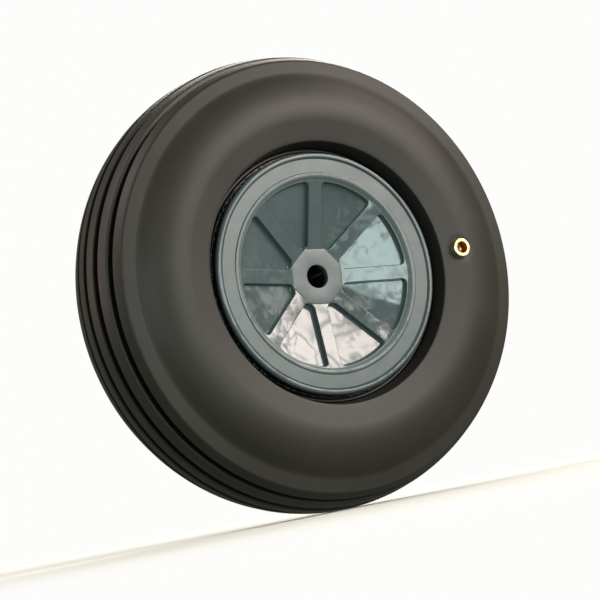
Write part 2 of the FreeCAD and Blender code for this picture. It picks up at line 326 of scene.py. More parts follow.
def add_node(
    tree: Tree, kind: str, settings: dict[Any, Any], links: dict[Any, Socket], output: int = 0
) -> Socket:
    """Add a shader node with its settings and its links.

    Args:
        tree: The node tree to add to.
        kind: The node's type, without the leading "ShaderNode".
        settings: Values by input name or number, else by attribute name; "stops" gives a ramp's stops.
        links: Sockets to link from, by the input's name or number.
        output: The number of the output that is wanted.

    Returns:
        That output of the new node, or None where it has none.
    """
    node = tree.nodes.new("ShaderNode" + kind)
    for name, value in settings.items():
        if name == "stops":
            elements = node.color_ramp.elements
            for element, (position, tint) in zip(elements, value):
                element.position = position
                element.color = tint
        elif isinstance(name, int) or name in node.inputs:
            node.inputs[name].default_value = value
        else:
            setattr(node, name, value)
    for name, socket in links.items():
        tree.links.new(socket, node.inputs[name])
    return node.outputs[output] if node.outputs else None


def new_material(name: str) -> tuple[bpy.types.Material, Tree, Socket]:
    """Start a material.

    Args:
        name: The material's name.

    Returns:
        The empty material, its node tree and its Object coordinate socket.
    """
    material = bpy.data.materials.new(name)
    material.use_nodes = True
    tree = material.node_tree
    tree.nodes.clear()
    return material, tree, add_node(tree, "TexCoord", {}, {}, output=3)


def section_place(tree: Tree, spot: Socket) -> tuple[Socket, Socket]:
    """Turn a place on the wheel into its place in the turned section.

    Args:
        tree: The material's nodes.
        spot: The place, in metres.

    Returns:
        Its distance from the axis and from the middle plane, in millimetres.
    """
    in_mm = add_node(tree, "VectorMath", {"operation": "SCALE", "Scale": 1 / MM}, {0: spot})
    flat = add_node(tree, "VectorMath", {"operation": "MULTIPLY", 1: (1, 0, 1)}, {0: in_mm})
    radius = add_node(tree, "VectorMath", {"operation": "LENGTH"}, {0: flat}, output=1)
    along = add_node(tree, "SeparateXYZ", {}, {0: in_mm}, output=1)
    height = add_node(tree, "Math", {"operation": "ABSOLUTE"}, {0: along})
    return radius, height


def finish_material(tree: Tree, settings: dict[str, Any], links: dict[str, Any]) -> None:
    """Add the surface shader and the output."""
    surface = add_node(tree, "BsdfPrincipled", settings, links)
    add_node(tree, "OutputMaterial", {}, {"Surface": surface})


@dataclass(frozen=True)
class MouldedRubber:
    """Rubber pressed in a satin mould: a matt warm grey bloom where it is touched, with a very dark painted
    shade in the tread's grooves and on the flash beside the hub.

    Args:
        base: The colour of the bloomed rubber.
        worn: The colour where handling has made the bloom paler.
        painted_recess_shade: A very dark colour painted as shade in the tread's grooves and on the flash
            beside the hub.
        ditch: The colour in the ditch beside the hub.
        dust: The colour of the dust.
        roughness: How matt the bloomed rubber is.
        clean_roughness: How matt the rubber is in the grooves and the ditch.
        flash_roughness: How matt the flash is, which the mould's joint leaves glossy.
        ior: The rubber's index of refraction.
        specular: How strongly it mirrors.
        bloom_mm: Size of the bloom's patches.
        grain_mm: Size of the mould's grain, drawn coarser than the real 0.05 mm so that it shows.
        grain_depth_mm: Depth of the grain.
        grain_strength: Share of that depth that shows.
        dust_mm: Distance between grains of dust.
        lump_mm: Size of the lumps in the flash.
        lump_rise_mm: Height of the lumps.
        groove_fade_mm: Depths under the crown at which a groove's painted shade starts and is full.
        edge_fade_mm: Distances inside the tread's edge at which the grooves' painted shade starts and is
            full.
        ditch_fade_mm: Depth under the sidewall's foot at which the ditch has its own colour.
        ditch_reach_mm: How far past the sidewall's foot the ditch's colour reaches.
        flash_reach_mm: How far past the ledge the flash reaches.
    """

    base: str = "#322E2B"
    worn: str = "#393531"
    painted_recess_shade: str = "#0F0E0D"
    ditch: str = "#302E2C"
    dust: str = "#A59C92"
    roughness: float = 0.46
    clean_roughness: float = 0.3
    flash_roughness: float = 0.08
    ior: float = 1.5
    specular: float = 0.4
    bloom_mm: float = 16.0
    grain_mm: float = 0.3
    grain_depth_mm: float = 0.04
    grain_strength: float = 0.06
    dust_mm: float = 2.6
    lump_mm: float = 0.9
    lump_rise_mm: float = 0.5
    groove_fade_mm: tuple[float, float] = (0.1, 0.55)
    edge_fade_mm: tuple[float, float] = (0.5, 0.7)
    ditch_fade_mm: float = 0.5
    ditch_reach_mm: float = 0.3
    flash_reach_mm: float = 0.05

    def in_groove(self, tree: Tree, radius: Socket, height: Socket, tyre: "Tyre") -> Socket:
        """Return 1 in the tread's grooves and 0 elsewhere.

        Args:
            tree: The material's nodes.
            radius: The place's distance from the axis, in millimetres.
            height: Its distance from the middle plane, in millimetres.
            tyre: The tyre, for its sizes.

        Returns:
            The mask.
        """
        arc_centre = tyre.radius - tyre.crown_arc
        from_centre = add_node(tree, "Math", {"operation": "SUBTRACT", 1: arc_centre}, {0: radius})
        across = add_node(tree, "CombineXYZ", {}, {0: from_centre, 1: height})
        on_arc = add_node(tree, "VectorMath", {"operation": "LENGTH"}, {0: across}, output=1)
        depth = add_node(tree, "Math", {"operation": "SUBTRACT", 0: tyre.crown_arc}, {1: on_arc})
        start, full = self.groove_fade_mm
        deep = add_node(tree, "MapRange", {"From Min": start, "From Max": full}, {0: depth})
        start, full = [tyre.edge_height - inside for inside in self.edge_fade_mm]
        in_tread = add_node(tree, "MapRange", {"From Min": start, "From Max": full}, {0: height})
        return add_node(tree, "Math", {"operation": "MULTIPLY"}, {0: deep, 1: in_tread})

    def in_ditch(self, tree: Tree, radius: Socket, height: Socket, tyre: "Tyre") -> Socket:
        """Return 1 in the ditch beside the hub and 0 elsewhere.

        Args:
            tree: The material's nodes.
            radius: The place's distance from the axis, in millimetres.
            height: Its distance from the middle plane, in millimetres.
            tyre: The tyre, for its sizes.

        Returns:
            The mask.
        """
        foot_radius, foot_height = tyre.flank_foot
        fade = {"From Min": foot_height, "From Max": foot_height - self.ditch_fade_mm}
        low = add_node(tree, "MapRange", fade, {0: height})
        reach = foot_radius + self.ditch_reach_mm
        near = add_node(tree, "Math", {"operation": "LESS_THAN", 1: reach}, {0: radius})
        return add_node(tree, "Math", {"operation": "MULTIPLY"}, {0: low, 1: near})

    def bloomed(self, tree: Tree, spot: Socket) -> Socket:
        """Return the colour of the touched faces: patches of bloom with a little dust.

        Args:
            tree: The material's nodes.
            spot: The place on the wheel, in metres.

        Returns:
            The colour.
        """
        patches = {"Scale": 1 / (self.bloom_mm * MM), "Detail": 5.0, "Roughness": 0.6}
        bloom = add_node(tree, "TexNoise", patches, {"Vector": spot})
        stops = [(0.35, colour(self.base)), (0.7, colour(self.worn))]
        tone = add_node(tree, "ValToRGB", {"stops": stops}, {0: bloom})
        dust = add_node(tree, "TexVoronoi", {"Scale": 1 / (self.dust_mm * MM)}, {"Vector": spot})
        speck = add_node(tree, "ValToRGB", {"stops": [(0.03, grey(1.0)), (0.055, grey(0.0))]}, {0: dust})
        drifts = {"Scale": 1 / (3 * self.dust_mm * MM), "Detail": 2.0}
        drift = add_node(tree, "TexNoise", drifts, {"Vector": spot})
        where = add_node(tree, "ValToRGB", {"stops": [(0.6, grey(0.0)), (0.68, grey(0.5))]}, {0: drift})
        amount = add_node(tree, "Math", {"operation": "MULTIPLY"}, {0: speck, 1: where})
        over = {"data_type": "RGBA", 7: colour(self.dust)}
        return add_node(tree, "Mix", over, {0: amount, 6: tone}, output=2)

    def relief(self, tree: Tree, spot: Socket, flash: Socket) -> Socket:
        """Return the normal of the surface, with the mould's fine grain and the lumps of the flash.

        Args:
            tree: The material's nodes.
            spot: The place on the wheel, in metres.
            flash: 1 on the flash beside the hub.

        Returns:
            The normal.
        """
        lumping = {"Scale": 1 / (self.lump_mm * MM), "Detail": 2.0}
        lumps = add_node(tree, "TexNoise", lumping, {"Vector": spot})
        lumpy = add_node(tree, "Math", {"operation": "MULTIPLY"}, {0: lumps, 1: flash})
        rise = {"Strength": 1.0, "Distance": self.lump_rise_mm * MM}
        swell = add_node(tree, "Bump", rise, {"Height": lumpy})
        graining = {"Scale": 1 / (self.grain_mm * MM), "Detail": 3.0}
        grain = add_node(tree, "TexNoise", graining, {"Vector": spot})
        pits = {"Strength": self.grain_strength, "Distance": self.grain_depth_mm * MM}
        return add_node(tree, "Bump", pits, {"Height": grain, "Normal": swell})

    def material(self, name: str, tyre: "Tyre") -> bpy.types.Material:
        """Return the tyre's finish.

        Args:
            name: The material's name.
            tyre: The tyre, for its sizes.

        Returns:
            The material.
        """
        material, tree, spot = new_material(name)
        radius, height = section_place(tree, spot)
        groove = self.in_groove(tree, radius, height, tyre)
        ditch = self.in_ditch(tree, radius, height, tyre)
        reach = tyre.ledge_radius + self.flash_reach_mm
        flash = add_node(tree, "Math", {"operation": "LESS_THAN", 1: reach}, {0: radius})
        # painted shade: the grooves and the flash beside the hub get a very dark colour that stands in for
        # the shade there
        recess_shade_mask = add_node(tree, "Math", {"operation": "MAXIMUM"}, {0: groove, 1: flash})
        in_ditch = {"data_type": "RGBA", 7: colour(self.ditch)}
        ditched = add_node(tree, "Mix", in_ditch, {0: ditch, 6: self.bloomed(tree, spot)}, output=2)
        in_recess_shade = {"data_type": "RGBA", 7: colour(self.painted_recess_shade)}
        tint = add_node(tree, "Mix", in_recess_shade, {0: recess_shade_mask, 6: ditched}, output=2)
        recess_mask = add_node(tree, "Math", {"operation": "MAXIMUM"}, {0: groove, 1: ditch})
        matting = {"To Min": self.roughness, "To Max": self.clean_roughness}
        matt = add_node(tree, "MapRange", matting, {"Value": recess_mask})
        rough = add_node(tree, "Mix", {3: self.flash_roughness}, {0: flash, 2: matt})
        links = {"Base Color": tint, "Roughness": rough, "Normal": self.relief(tree, spot, flash)}
        finish_material(tree, {"IOR": self.ior, "Specular IOR Level": self.specular}, links)
        return material


@dataclass(frozen=True)
class SealRubber:
    """Black nitrile cut from sheet: matt and even.

    Args:
        base: The rubber's colour.
        roughness: How matt it is.
        grain_mm: Size of its fine grain.
        grain_depth_mm: Depth of the grain.
        grain_strength: Share of that depth that shows.
    """

    base: str = "#1C1B1A"
    roughness: float = 0.55
    grain_mm: float = 0.1
    grain_depth_mm: float = 0.01
    grain_strength: float = 0.2

    def material(self, name: str) -> bpy.types.Material:
        """Return the washer's finish.

        Args:
            name: The material's name.

        Returns:
            The material.
        """
        material, tree, spot = new_material(name)
        graining = {"Scale": 1 / (self.grain_mm * MM), "Detail": 2.0}
        grain = add_node(tree, "TexNoise", graining, {"Vector": spot})
        pits = {"Strength": self.grain_strength, "Distance": self.grain_depth_mm * MM}
        bump = add_node(tree, "Bump", pits, {"Height": grain})
        finish = {"Base Color": colour(self.base), "Roughness": self.roughness}
        finish_material(tree, finish, {"Normal": bump})
        return material


@dataclass(frozen=True)
class MouldedNylon:
    """Nylon moulded with a polished web and satin flats: slate grey, faintly uneven as thick mouldings are.

    Args:
        base: The plastic's colour.
        light: The colour where the melt has flowed paler.
        painted_wall_light: A paler colour painted on the drafted wall below the lip, standing in for the
            light that falls on it.
        painted_shade: A very dark colour painted as shade inside the bore and down the flange's edge.
        gloss: Roughness of the polished web and spokes.
        satin: Roughness of the flat band, the boss and the drafted wall.
        ior: The nylon's index of refraction.
        specular: How strongly the surface mirrors.
        painted_shade_sheen: Share of the mirroring that is left in that painted shade, which dims the
            reflections there as well.
        swirl_mm: Size of the hazy swirls in the polish.
        swirl_haze: How much rougher the swirls are.
        line_mm: Size of the curls that the flow lines make.
        line_width: How wide a flow line is, as a share of the pattern's whole swing.
        line_sheen: Share of the mirroring that is left in a flow line.
        line_fade_mm: Places along +Z at which the flow lines start and are in full.
        flow_mm: Size of the flow marks.
        ripple_mm: Size of the slow unevenness of the surface.
        ripple_rise_mm: Height of that unevenness.
        wall_reach_mm: How far past the drafted wall its satin finish and painted light reach.
        bore_reach_mm: How far out from the bore its painted shade reaches.
        bore_fade_mm: Depths under the boss's face at which the bore starts to darken and is dark.
        edge_fade_mm: Depths under the flange's face at which its edge starts to darken and is dark.
    """

    base: str = "#546165"
    light: str = "#5B686B"
    painted_wall_light: str = "#7B8789"
    painted_shade: str = "#121516"
    gloss: float = 0.07
    satin: float = 0.34
    ior: float = 1.53
    specular: float = 0.8
    painted_shade_sheen: float = 0.25
    swirl_mm: float = 3.2
    swirl_haze: float = 0.2
    line_mm: float = 8.5
    line_width: float = 0.07
    line_sheen: float = 0.42
    line_fade_mm: tuple[float, float] = (-3.0, -8.0)
    flow_mm: float = 9.0
    ripple_mm: float = 5.0
    ripple_rise_mm: float = 0.12
    wall_reach_mm: float = 0.05
    bore_reach_mm: float = 0.02
    bore_fade_mm: tuple[float, float] = (0.3, 1.6)
    edge_fade_mm: tuple[float, float] = (0.1, 0.6)

    def between(self, tree: Tree, radius: Socket, low: float, high: float) -> Socket:
        """Return where the radius lies between two values.

        Args:
            tree: The material's nodes.
            radius: The place's distance from the axis, in millimetres.
            low: The lesser value, in millimetres.
            high: The greater value, in millimetres.

        Returns:
            1 between them and 0 elsewhere.
        """
        past = add_node(tree, "Math", {"operation": "GREATER_THAN", 1: low}, {0: radius})
        under = add_node(tree, "Math", {"operation": "LESS_THAN", 1: high}, {0: radius})
        return add_node(tree, "Math", {"operation": "MULTIPLY"}, {0: past, 1: under})

    def recess_mask(self, tree: Tree, radius: Socket, height: Socket, hub: "HubHalf") -> Socket:
        """Return where the nylon gets its painted shade: inside the bore and down the flange's edge.

        Args:
            tree: The material's nodes.
            radius: The place's distance from the axis, in millimetres.
            height: Its distance from the middle plane, in millimetres.
            hub: The hub half, for its sizes.

        Returns:
            1 there and 0 elsewhere.
        """
        reach = hub.bore_radius + self.bore_reach_mm
        near_axis = add_node(tree, "Math", {"operation": "LESS_THAN", 1: reach}, {0: radius})
        start, full = [hub.boss_height - depth for depth in self.bore_fade_mm]
        deep = add_node(tree, "MapRange", {"From Min": start, "From Max": full}, {0: height})
        in_bore = add_node(tree, "Math", {"operation": "MULTIPLY"}, {0: near_axis, 1: deep})
        at_edge = add_node(tree, "Math", {"operation": "GREATER_THAN", 1: hub.seat_radius}, {0: radius})
        start, full = [hub.flange_height - depth for depth in self.edge_fade_mm]
        under_edge = add_node(tree, "MapRange", {"From Min": start, "From Max": full}, {0: height})
        wall = add_node(tree, "Math", {"operation": "MULTIPLY"}, {0: at_edge, 1: under_edge})
        return add_node(tree, "Math", {"operation": "MAXIMUM"}, {0: in_bore, 1: wall})

    def flow_lines(self, tree: Tree, spot: Socket, flat: Socket) -> Socket:
        """Return the share of mirroring left by the dull lines where the melt met, below the boss.

        Args:
            tree: The material's nodes.
            spot: The place on the wheel, in metres.
            flat: 1 on the satin faces, which show no lines.

        Returns:
            1 on clear polish, and less in a line.
        """
        curls = {"Scale": 1 / (self.line_mm * MM), "Detail": 1.0, "Distortion": 1.2}
        curl = add_node(tree, "TexNoise", curls, {"Vector": spot})
        swing = add_node(tree, "Math", {"operation": "SUBTRACT", 1: 0.5}, {0: curl})
        off_line = add_node(tree, "Math", {"operation": "ABSOLUTE"}, {0: swing})
        dulling = {"From Max": self.line_width, "To Min": self.line_sheen}
        line = add_node(tree, "MapRange", dulling, {"Value": off_line})
        level = add_node(tree, "SeparateXYZ", {}, {0: spot}, output=2)
        start, full = [height * MM for height in self.line_fade_mm]
        below = add_node(tree, "MapRange", {"From Min": start, "From Max": full}, {"Value": level})
        glossy = add_node(tree, "Math", {"operation": "SUBTRACT", 0: 1.0}, {1: flat})
        where = add_node(tree, "Math", {"operation": "MULTIPLY"}, {0: below, 1: glossy})
        return add_node(tree, "Mix", {2: 1.0}, {0: where, 3: line})

    def material(self, name: str, hub: "HubHalf") -> bpy.types.Material:
        """Return the hub's finish.

        Args:
            name: The material's name.
            hub: The hub half, for its sizes.

        Returns:
            The material.
        """
        material, tree, spot = new_material(name)
        radius, height = section_place(tree, spot)
        flows = {"Scale": 1 / (self.flow_mm * MM), "Detail": 3.0, "Distortion": 0.8}
        flow = add_node(tree, "TexNoise", flows, {"Vector": spot})
        stops = [(0.4, colour(self.base)), (0.65, colour(self.light))]
        tone = add_node(tree, "ValToRGB", {"stops": stops}, {0: flow})
        band = self.between(tree, radius, hub.lip_radius + hub.lip_width, hub.flange_radius - hub.bead_width)
        boss = self.between(tree, radius, hub.bore_radius, hub.boss_flat)
        reach = self.wall_reach_mm
        lip_wall = self.between(tree, radius, hub.wall_foot_radius - reach, hub.lip_radius + reach)
        raised = add_node(tree, "Math", {"operation": "ADD"}, {0: band, 1: boss})
        flat = add_node(tree, "Math", {"operation": "ADD"}, {0: raised, 1: lip_wall})
        swirls = {"Scale": 1 / (self.swirl_mm * MM), "Detail": 2.0, "Distortion": 1.5}
        swirl = add_node(tree, "TexNoise", swirls, {"Vector": spot})
        hazed = self.gloss + self.swirl_haze
        hazing = {"From Min": 0.45, "From Max": 0.7, "To Min": self.gloss, "To Max": hazed}
        polish = add_node(tree, "MapRange", hazing, {"Value": swirl})
        matt = add_node(tree, "Mix", {3: self.satin}, {0: flat, 2: polish})
        # painted shade: inside the bore and down the flange's edge the colour turns very dark and the
        # mirroring is dimmed, standing in for the shade there
        recess_mask = self.recess_mask(tree, radius, height, hub)
        # painted light: the drafted wall below the lip is made paler, standing in for the light that falls on
        # it
        on_wall = {"data_type": "RGBA", 7: colour(self.painted_wall_light)}
        drafted = add_node(tree, "Mix", on_wall, {0: lip_wall, 6: tone}, output=2)
        in_painted_shade = {"data_type": "RGBA", 7: colour(self.painted_shade)}
        tint = add_node(tree, "Mix", in_painted_shade, {0: recess_mask, 6: drafted}, output=2)
        dimming = {"To Min": self.specular, "To Max": self.specular * self.painted_shade_sheen}
        shaded = add_node(tree, "MapRange", dimming, {"Value": recess_mask})
        lines = self.flow_lines(tree, spot, flat)
        sheen = add_node(tree, "Math", {"operation": "MULTIPLY"}, {0: shaded, 1: lines})
        rippling = {"Scale": 1 / (self.ripple_mm * MM), "Detail": 1.0}
        ripple = add_node(tree, "TexNoise", rippling, {"Vector": spot})
        waves = {"Strength": 1.0, "Distance": self.ripple_rise_mm * MM}
        bump = add_node(tree, "Bump", waves, {"Height": ripple})
        links = {"Base Color": tint, "Roughness": matt, "Specular IOR Level": sheen, "Normal": bump}
        finish_material(tree, {"IOR": self.ior}, links)
        return material


@dataclass(frozen=True)
class TurnedMetal:
    """Metal turned on a lathe and left bright: fine rings round its own axis.

    Args:
        base: The metal's colour.
        dull: Its colour where it has tarnished a little.
        roughness: How matt the turned face is.
        ring_mm: Distance between the tool's marks, drawn coarser than the real 0.05 mm so that they show.
        centre: Where the lathe's axis stands, in metres.
        bore_mm: Radius inside which the drill has left the metal matt.
        bore: The metal's colour there, darker and browner than the turned face.
        bore_roughness: How matt it is there.
        stain_mm: Size of the tarnished patches.
        stain_haze: How much rougher they are.
        ring_depth_mm: Depth of the tool's marks.
        ring_strength: Share of that depth that shows.
    """

    base: str
    dull: str
    roughness: float
    ring_mm: float
    centre: tuple[float, float, float]
    bore_mm: float = 0.0
    bore: str = "#C8973F"
    bore_roughness: float = 0.45
    stain_mm: float = 1.2
    stain_haze: float = 0.12
    ring_depth_mm: float = 0.01
    ring_strength: float = 0.05

    def material(self, name: str) -> bpy.types.Material:
        """Return the turned finish.

        Args:
            name: The material's name.

        Returns:
            The material.
        """
        material, tree, spot = new_material(name)
        centred = add_node(tree, "VectorMath", {"operation": "SUBTRACT", 1: self.centre}, {0: spot})
        staining = {"Scale": 1 / (self.stain_mm * MM), "Detail": 4.0}
        stain = add_node(tree, "TexNoise", staining, {"Vector": spot})
        stops = [(0.4, colour(self.base)), (0.7, colour(self.dull))]
        tone = add_node(tree, "ValToRGB", {"stops": stops}, {0: stain})
        spacing = {"Scale": 1 / (self.ring_mm * MM * WAVE_RATE), "Distortion": 0.4}
        marks = {"wave_type": "RINGS", "rings_direction": "Y", **spacing}
        rings = add_node(tree, "TexWave", marks, {"Vector": centred})
        hazed = self.roughness + self.stain_haze
        hazing = {"From Min": 0.35, "From Max": 0.75, "To Min": self.roughness, "To Max": hazed}
        matt = add_node(tree, "MapRange", hazing, {"Value": stain})
        out, _ = section_place(tree, centred)
        drilled = add_node(tree, "Math", {"operation": "LESS_THAN", 1: self.bore_mm}, {0: out})
        rough = add_node(tree, "Mix", {3: self.bore_roughness}, {0: drilled, 2: matt})
        in_bore = {"data_type": "RGBA", 7: colour(self.bore)}
        tint = add_node(tree, "Mix", in_bore, {0: drilled, 6: tone}, output=2)
        cuts = {"Strength": self.ring_strength, "Distance": self.ring_depth_mm * MM}
        bump = add_node(tree, "Bump", cuts, {"Height": rings})
        finish_material(tree, {"Metallic": 1.0}, {"Base Color": tint, "Roughness": rough, "Normal": bump})
        return material


def dress(piece: Piece, material: bpy.types.Material) -> None:
    """Give a piece this one material."""
    piece.data.materials.clear()
    piece.data.materials.append(material)


def hand_over(piece: Piece, body: Body, node: str) -> None:
    """Let a finished piece ride on its body and stand for its node.

    Args:
        piece: The finished piece.
        body: The body it moves with.
        node: The node of the frame that it replaces.
    """
    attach(piece, body.value)
    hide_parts(node)
    triangles = sum(len(face.vertices) - 2 for face in piece.data.polygons)
    log.info("%s: %d triangles, rides on %s", piece.name, triangles, body.value)


# ---------------------------------------------------------------- the valve's place


@dataclass(frozen=True)
class ValvePlace:
    """Where the air valve stands, read from the frame's own valve body.

    Args:
        axis: A point on the valve's axis, in metres, at the level of its mouth.
    """

    axis: Vector = field(default_factory=lambda: ValvePlace.measure())

    @staticmethod
    def measure() -> Vector:
        """Find the valve in the frame.

        Returns:
            The middle of the valve body's front end, in metres.
        """
        low, high = (Vector(corner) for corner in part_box("valve_body"))
        middle = (low + high) / 2
        return Vector((middle.x, low.y, middle.z))

    def distance(self, point: Vector) -> float:
        """Return how far a point stands from the valve's axis, in metres."""
        return math.hypot(point.x - self.axis.x, point.z - self.axis.z)


# ---------------------------------------------------------------- the tyre


@dataclass
class Tyre:
    """The hollow rubber tyre: ribbed tread, creased shoulders, bulging sidewalls, beads and valve boss.

    Sizes are in millimetres; a height is measured from the middle plane.
    """

    valve: ValvePlace
    finish: MouldedRubber = MouldedRubber()
    radius: float = 47.6
    crown_arc: float = 24.0  # radius of the tread's arc across its width
    edge_height: float = 11.6
    shoulder_width: float = 3.1
    shoulder_rise: float = 0.6
    sidewall_foot: tuple[float, float] = (26.9, 14.0)  # with the top, the arc that the air chamber follows
    sidewall_top: tuple[float, float] = (34.2, 16.3)
    flank_foot: tuple[float, float] = (27.0, 14.45)  # inner end of the visible sidewall
    flank_peak: tuple[float, float] = (36.0, 16.1)  # where its rise and its fall would meet unrounded
    peak_ease: float = 4.8
    rise_steps: int = 6  # the rise is cut up, so that its faces stay short
    rise_gap: float = 0.1  # kept clear before the rounding
    groove_count: int = 5
    groove_pitch: float = 4.3
    groove_width: float = 1.7
    groove_floor: float = 1.3
    groove_depth: float = 1.8
    groove_ease: float = 0.2
    edge_ease: float = 0.35
    rib_shares: tuple[float, ...] = (0.3, 0.5, 0.7)  # where a rib's top follows the crown
    seat_radius: float = 22.0
    bead_height: float = 11.2
    ledge_radius: float = 25.4  # edge of the flash beside the hub
    ditch_width: float = 0.6
    ditch_depth: float = 0.7
    ditch_draft: float = 0.15
    tread_wall: float = 4.0
    side_wall: float = 2.6
    bead_wall: float = 2.8
    chamber_low: float = 7.0
    chamber_crown: float = 4.0
    chamber_steps: int = 6
    spin_steps: int = 256
    dimple_radius: float = 3.3
    dimple_depth: float = 0.3
    dimple_gain: float = 1.3  # how much deeper its middle goes
    dimple_meshes: tuple[float, float] = (1.5, 1.2)  # how far out the mesh is refined, in dimple radii
    valve_hole_radius: float = 1.95
    boss_radius: float = 3.3
    boss_start: float = 1.9  # this and the recess's start are depths inwards from the valve's mouth
    boss_length: float = 6.6
    recess_radius: float = 2.4
    recess_start: float = 4.0
    recess_length: float = 0.8
    rod_sides: int = 64
    boss_sides: int = 48
    sharp_angle: float = 32.0

    def crown(self, height: float) -> float:
        """Return the rounded tread's radius at this height."""
        return self.radius - self.crown_arc + math.sqrt(self.crown_arc**2 - height**2)

    def crease(self) -> tuple[float, float]:
        """Return the foot of the shoulder, where the sidewall meets it."""
        return self.crown(self.edge_height) - self.shoulder_width, self.edge_height + self.shoulder_rise

    def bulge(self) -> tuple[tuple[float, float], float]:
        """Work out the arc through the sidewall's foot, top and crease.

        Returns:
            The arc's centre and its radius.
        """
        (x1, y1), (x2, y2), (x3, y3) = self.sidewall_foot, self.sidewall_top, self.crease()
        double = 2 * (x1 * (y2 - y3) + x2 * (y3 - y1) + x3 * (y1 - y2))
        squares = [x * x + y * y for x, y in ((x1, y1), (x2, y2), (x3, y3))]
        x = (squares[0] * (y2 - y3) + squares[1] * (y3 - y1) + squares[2] * (y1 - y2)) / double
        y = (squares[0] * (x3 - x2) + squares[1] * (x1 - x3) + squares[2] * (x2 - x1)) / double
        return (x, y), math.hypot(x1 - x, y1 - y)

    def sidewall(self, thinner: float, steps: int) -> list[Corner]:
        """Return the air chamber's side, under the sidewall.

        Args:
            thinner: Its depth under the sidewall's surface.
            steps: How many edges it has.

        Returns:
            Its corners from foot to crease.
        """
        centre, radius = self.bulge()
        points = (self.sidewall_foot, self.crease())
        ends = [math.degrees(math.atan2(y - centre[1], x - centre[0])) for x, y in points]
        return arc(centre, radius - thinner, ends[0], ends[1], steps)

    def flank(self) -> list[Corner]:
        """Return the sidewall's visible face.

        Returns:
            The corners of a gentle rise, a round and a steeper fall to the crease.
        """
        foot, peak = self.flank_foot, self.flank_peak
        reach = math.dist(foot, peak)
        rise = []
        for number in range(1, self.rise_steps + 1):
            share = number / self.rise_steps * (reach - self.peak_ease - self.rise_gap) / reach
            rise.append(Corner(foot[0] + (peak[0] - foot[0]) * share, foot[1] + (peak[1] - foot[1]) * share))
        crease = self.crease()
        return [
            Corner(foot[0], foot[1], 0.12, 3),
            *rise,
            Corner(peak[0], peak[1], self.peak_ease, 24),
            Corner(crease[0], crease[1], 0.5, 5),
        ]

    def bead(self) -> list[Corner]:
        """Return the bead, with the ledge and the ditch beside the hub.

        Returns:
            Its corners from the hub's seat to the foot of the sidewall.
        """
        ditch = self.ledge_radius + self.ditch_draft
        floor = self.bead_height - self.ditch_depth
        return [
            Corner(self.seat_radius, self.bead_height),
            Corner(self.ledge_radius, self.bead_height, 0.15, 3),
            Corner(ditch, floor, 0.12, 2),
            Corner(ditch + self.ditch_width, floor, 0.25, 3),
        ]

    def rib(self, start: float, end: float) -> list[Corner]:
        """Return the points that carry a rib's top along the crown between two heights."""
        heights = [start + (end - start) * share for share in self.rib_shares]
        return [Corner(self.crown(height), height) for height in heights]

    def tread(self) -> list[Corner]:
        """Return the tread, down and up each groove.

        Returns:
            Its corners from its front edge to its rear edge.
        """
        edge = self.edge_height
        corners = [Corner(self.crown(edge), edge, self.edge_ease)]
        middle = (self.groove_count - 1) / 2
        rib_from = edge
        for number in range(self.groove_count):
            centre = (middle - number) * self.groove_pitch
            mouth = centre + self.groove_width / 2
            floor = self.crown(centre) - self.groove_depth
            corners += self.rib(rib_from, mouth)
            corners += [Corner(self.crown(mouth), mouth, self.groove_ease)]
            for side in (1, -1):
                corners += [Corner(floor, centre + side * self.groove_floor / 2, self.groove_ease)]
            rib_from = centre - self.groove_width / 2
            corners += [Corner(self.crown(rib_from), rib_from, self.groove_ease)]
        corners += self.rib(rib_from, -edge)
        return corners + [Corner(self.crown(edge), -edge, self.edge_ease)]

    def outside(self) -> Piece:
        """Return the tyre's outer form, turned."""
        half = self.bead() + self.flank()
        return turn_section("tyre_cover", half + self.tread() + mirrored(half), self.spin_steps)

    def chamber(self) -> Piece:
        """Return the ring of air inside the tyre.

        Returns:
            The turned solid that is cut from it.
        """
        half = [Corner(self.seat_radius + self.bead_wall, self.chamber_low)]
        half += self.sidewall(self.side_wall, self.chamber_steps)
        half += [Corner(self.radius - self.tread_wall, self.chamber_crown)]
        return turn_section("chamber", half + mirrored(half), self.spin_steps // 2)

    def sink_dimple(self, tyre: Piece) -> None:
        """Refine the sidewall round the valve and press a shallow dimple into it.

        Args:
            tyre: The tyre's turned form.
        """
        front = -self.edge_height * MM
        for share in self.dimple_meshes:
            reach = share * self.dimple_radius * MM
            select_where(
                tyre, "FACE", lambda face: face.center.y < front and self.valve.distance(face.center) < reach
            )
            bpy.ops.mesh.subdivide(number_cuts=1, smoothness=0.0)
            bpy.ops.object.mode_set(mode="OBJECT")
        for vertex in tyre.data.vertices:
            away = self.valve.distance(vertex.co) / (self.dimple_radius * MM)
            if vertex.co.y < front and away < 1.0:
                vertex.co.y += self.dimple_depth * MM * (1 - away**2) ** 2 * self.dimple_gain

    def rod(self, radius: float, start: float, length: float, vertices: int) -> Piece:
        """Return a rod on the valve's axis.

        Args:
            radius: Its radius in millimetres.
            start: How deep under the valve's mouth it starts; less than 0 is in front of it.
            length: Its length in millimetres.
            vertices: How many sides it has.

        Returns:
            The rod.
        """
        deselect_all()
        bpy.ops.mesh.primitive_cylinder_add(
            vertices=vertices,
            radius=radius * MM,
            depth=length * MM,
            location=self.valve.axis + Vector((0, (start + length / 2) * MM, 0)),
            rotation=(math.pi / 2, 0, 0),
        )
        return bpy.context.object

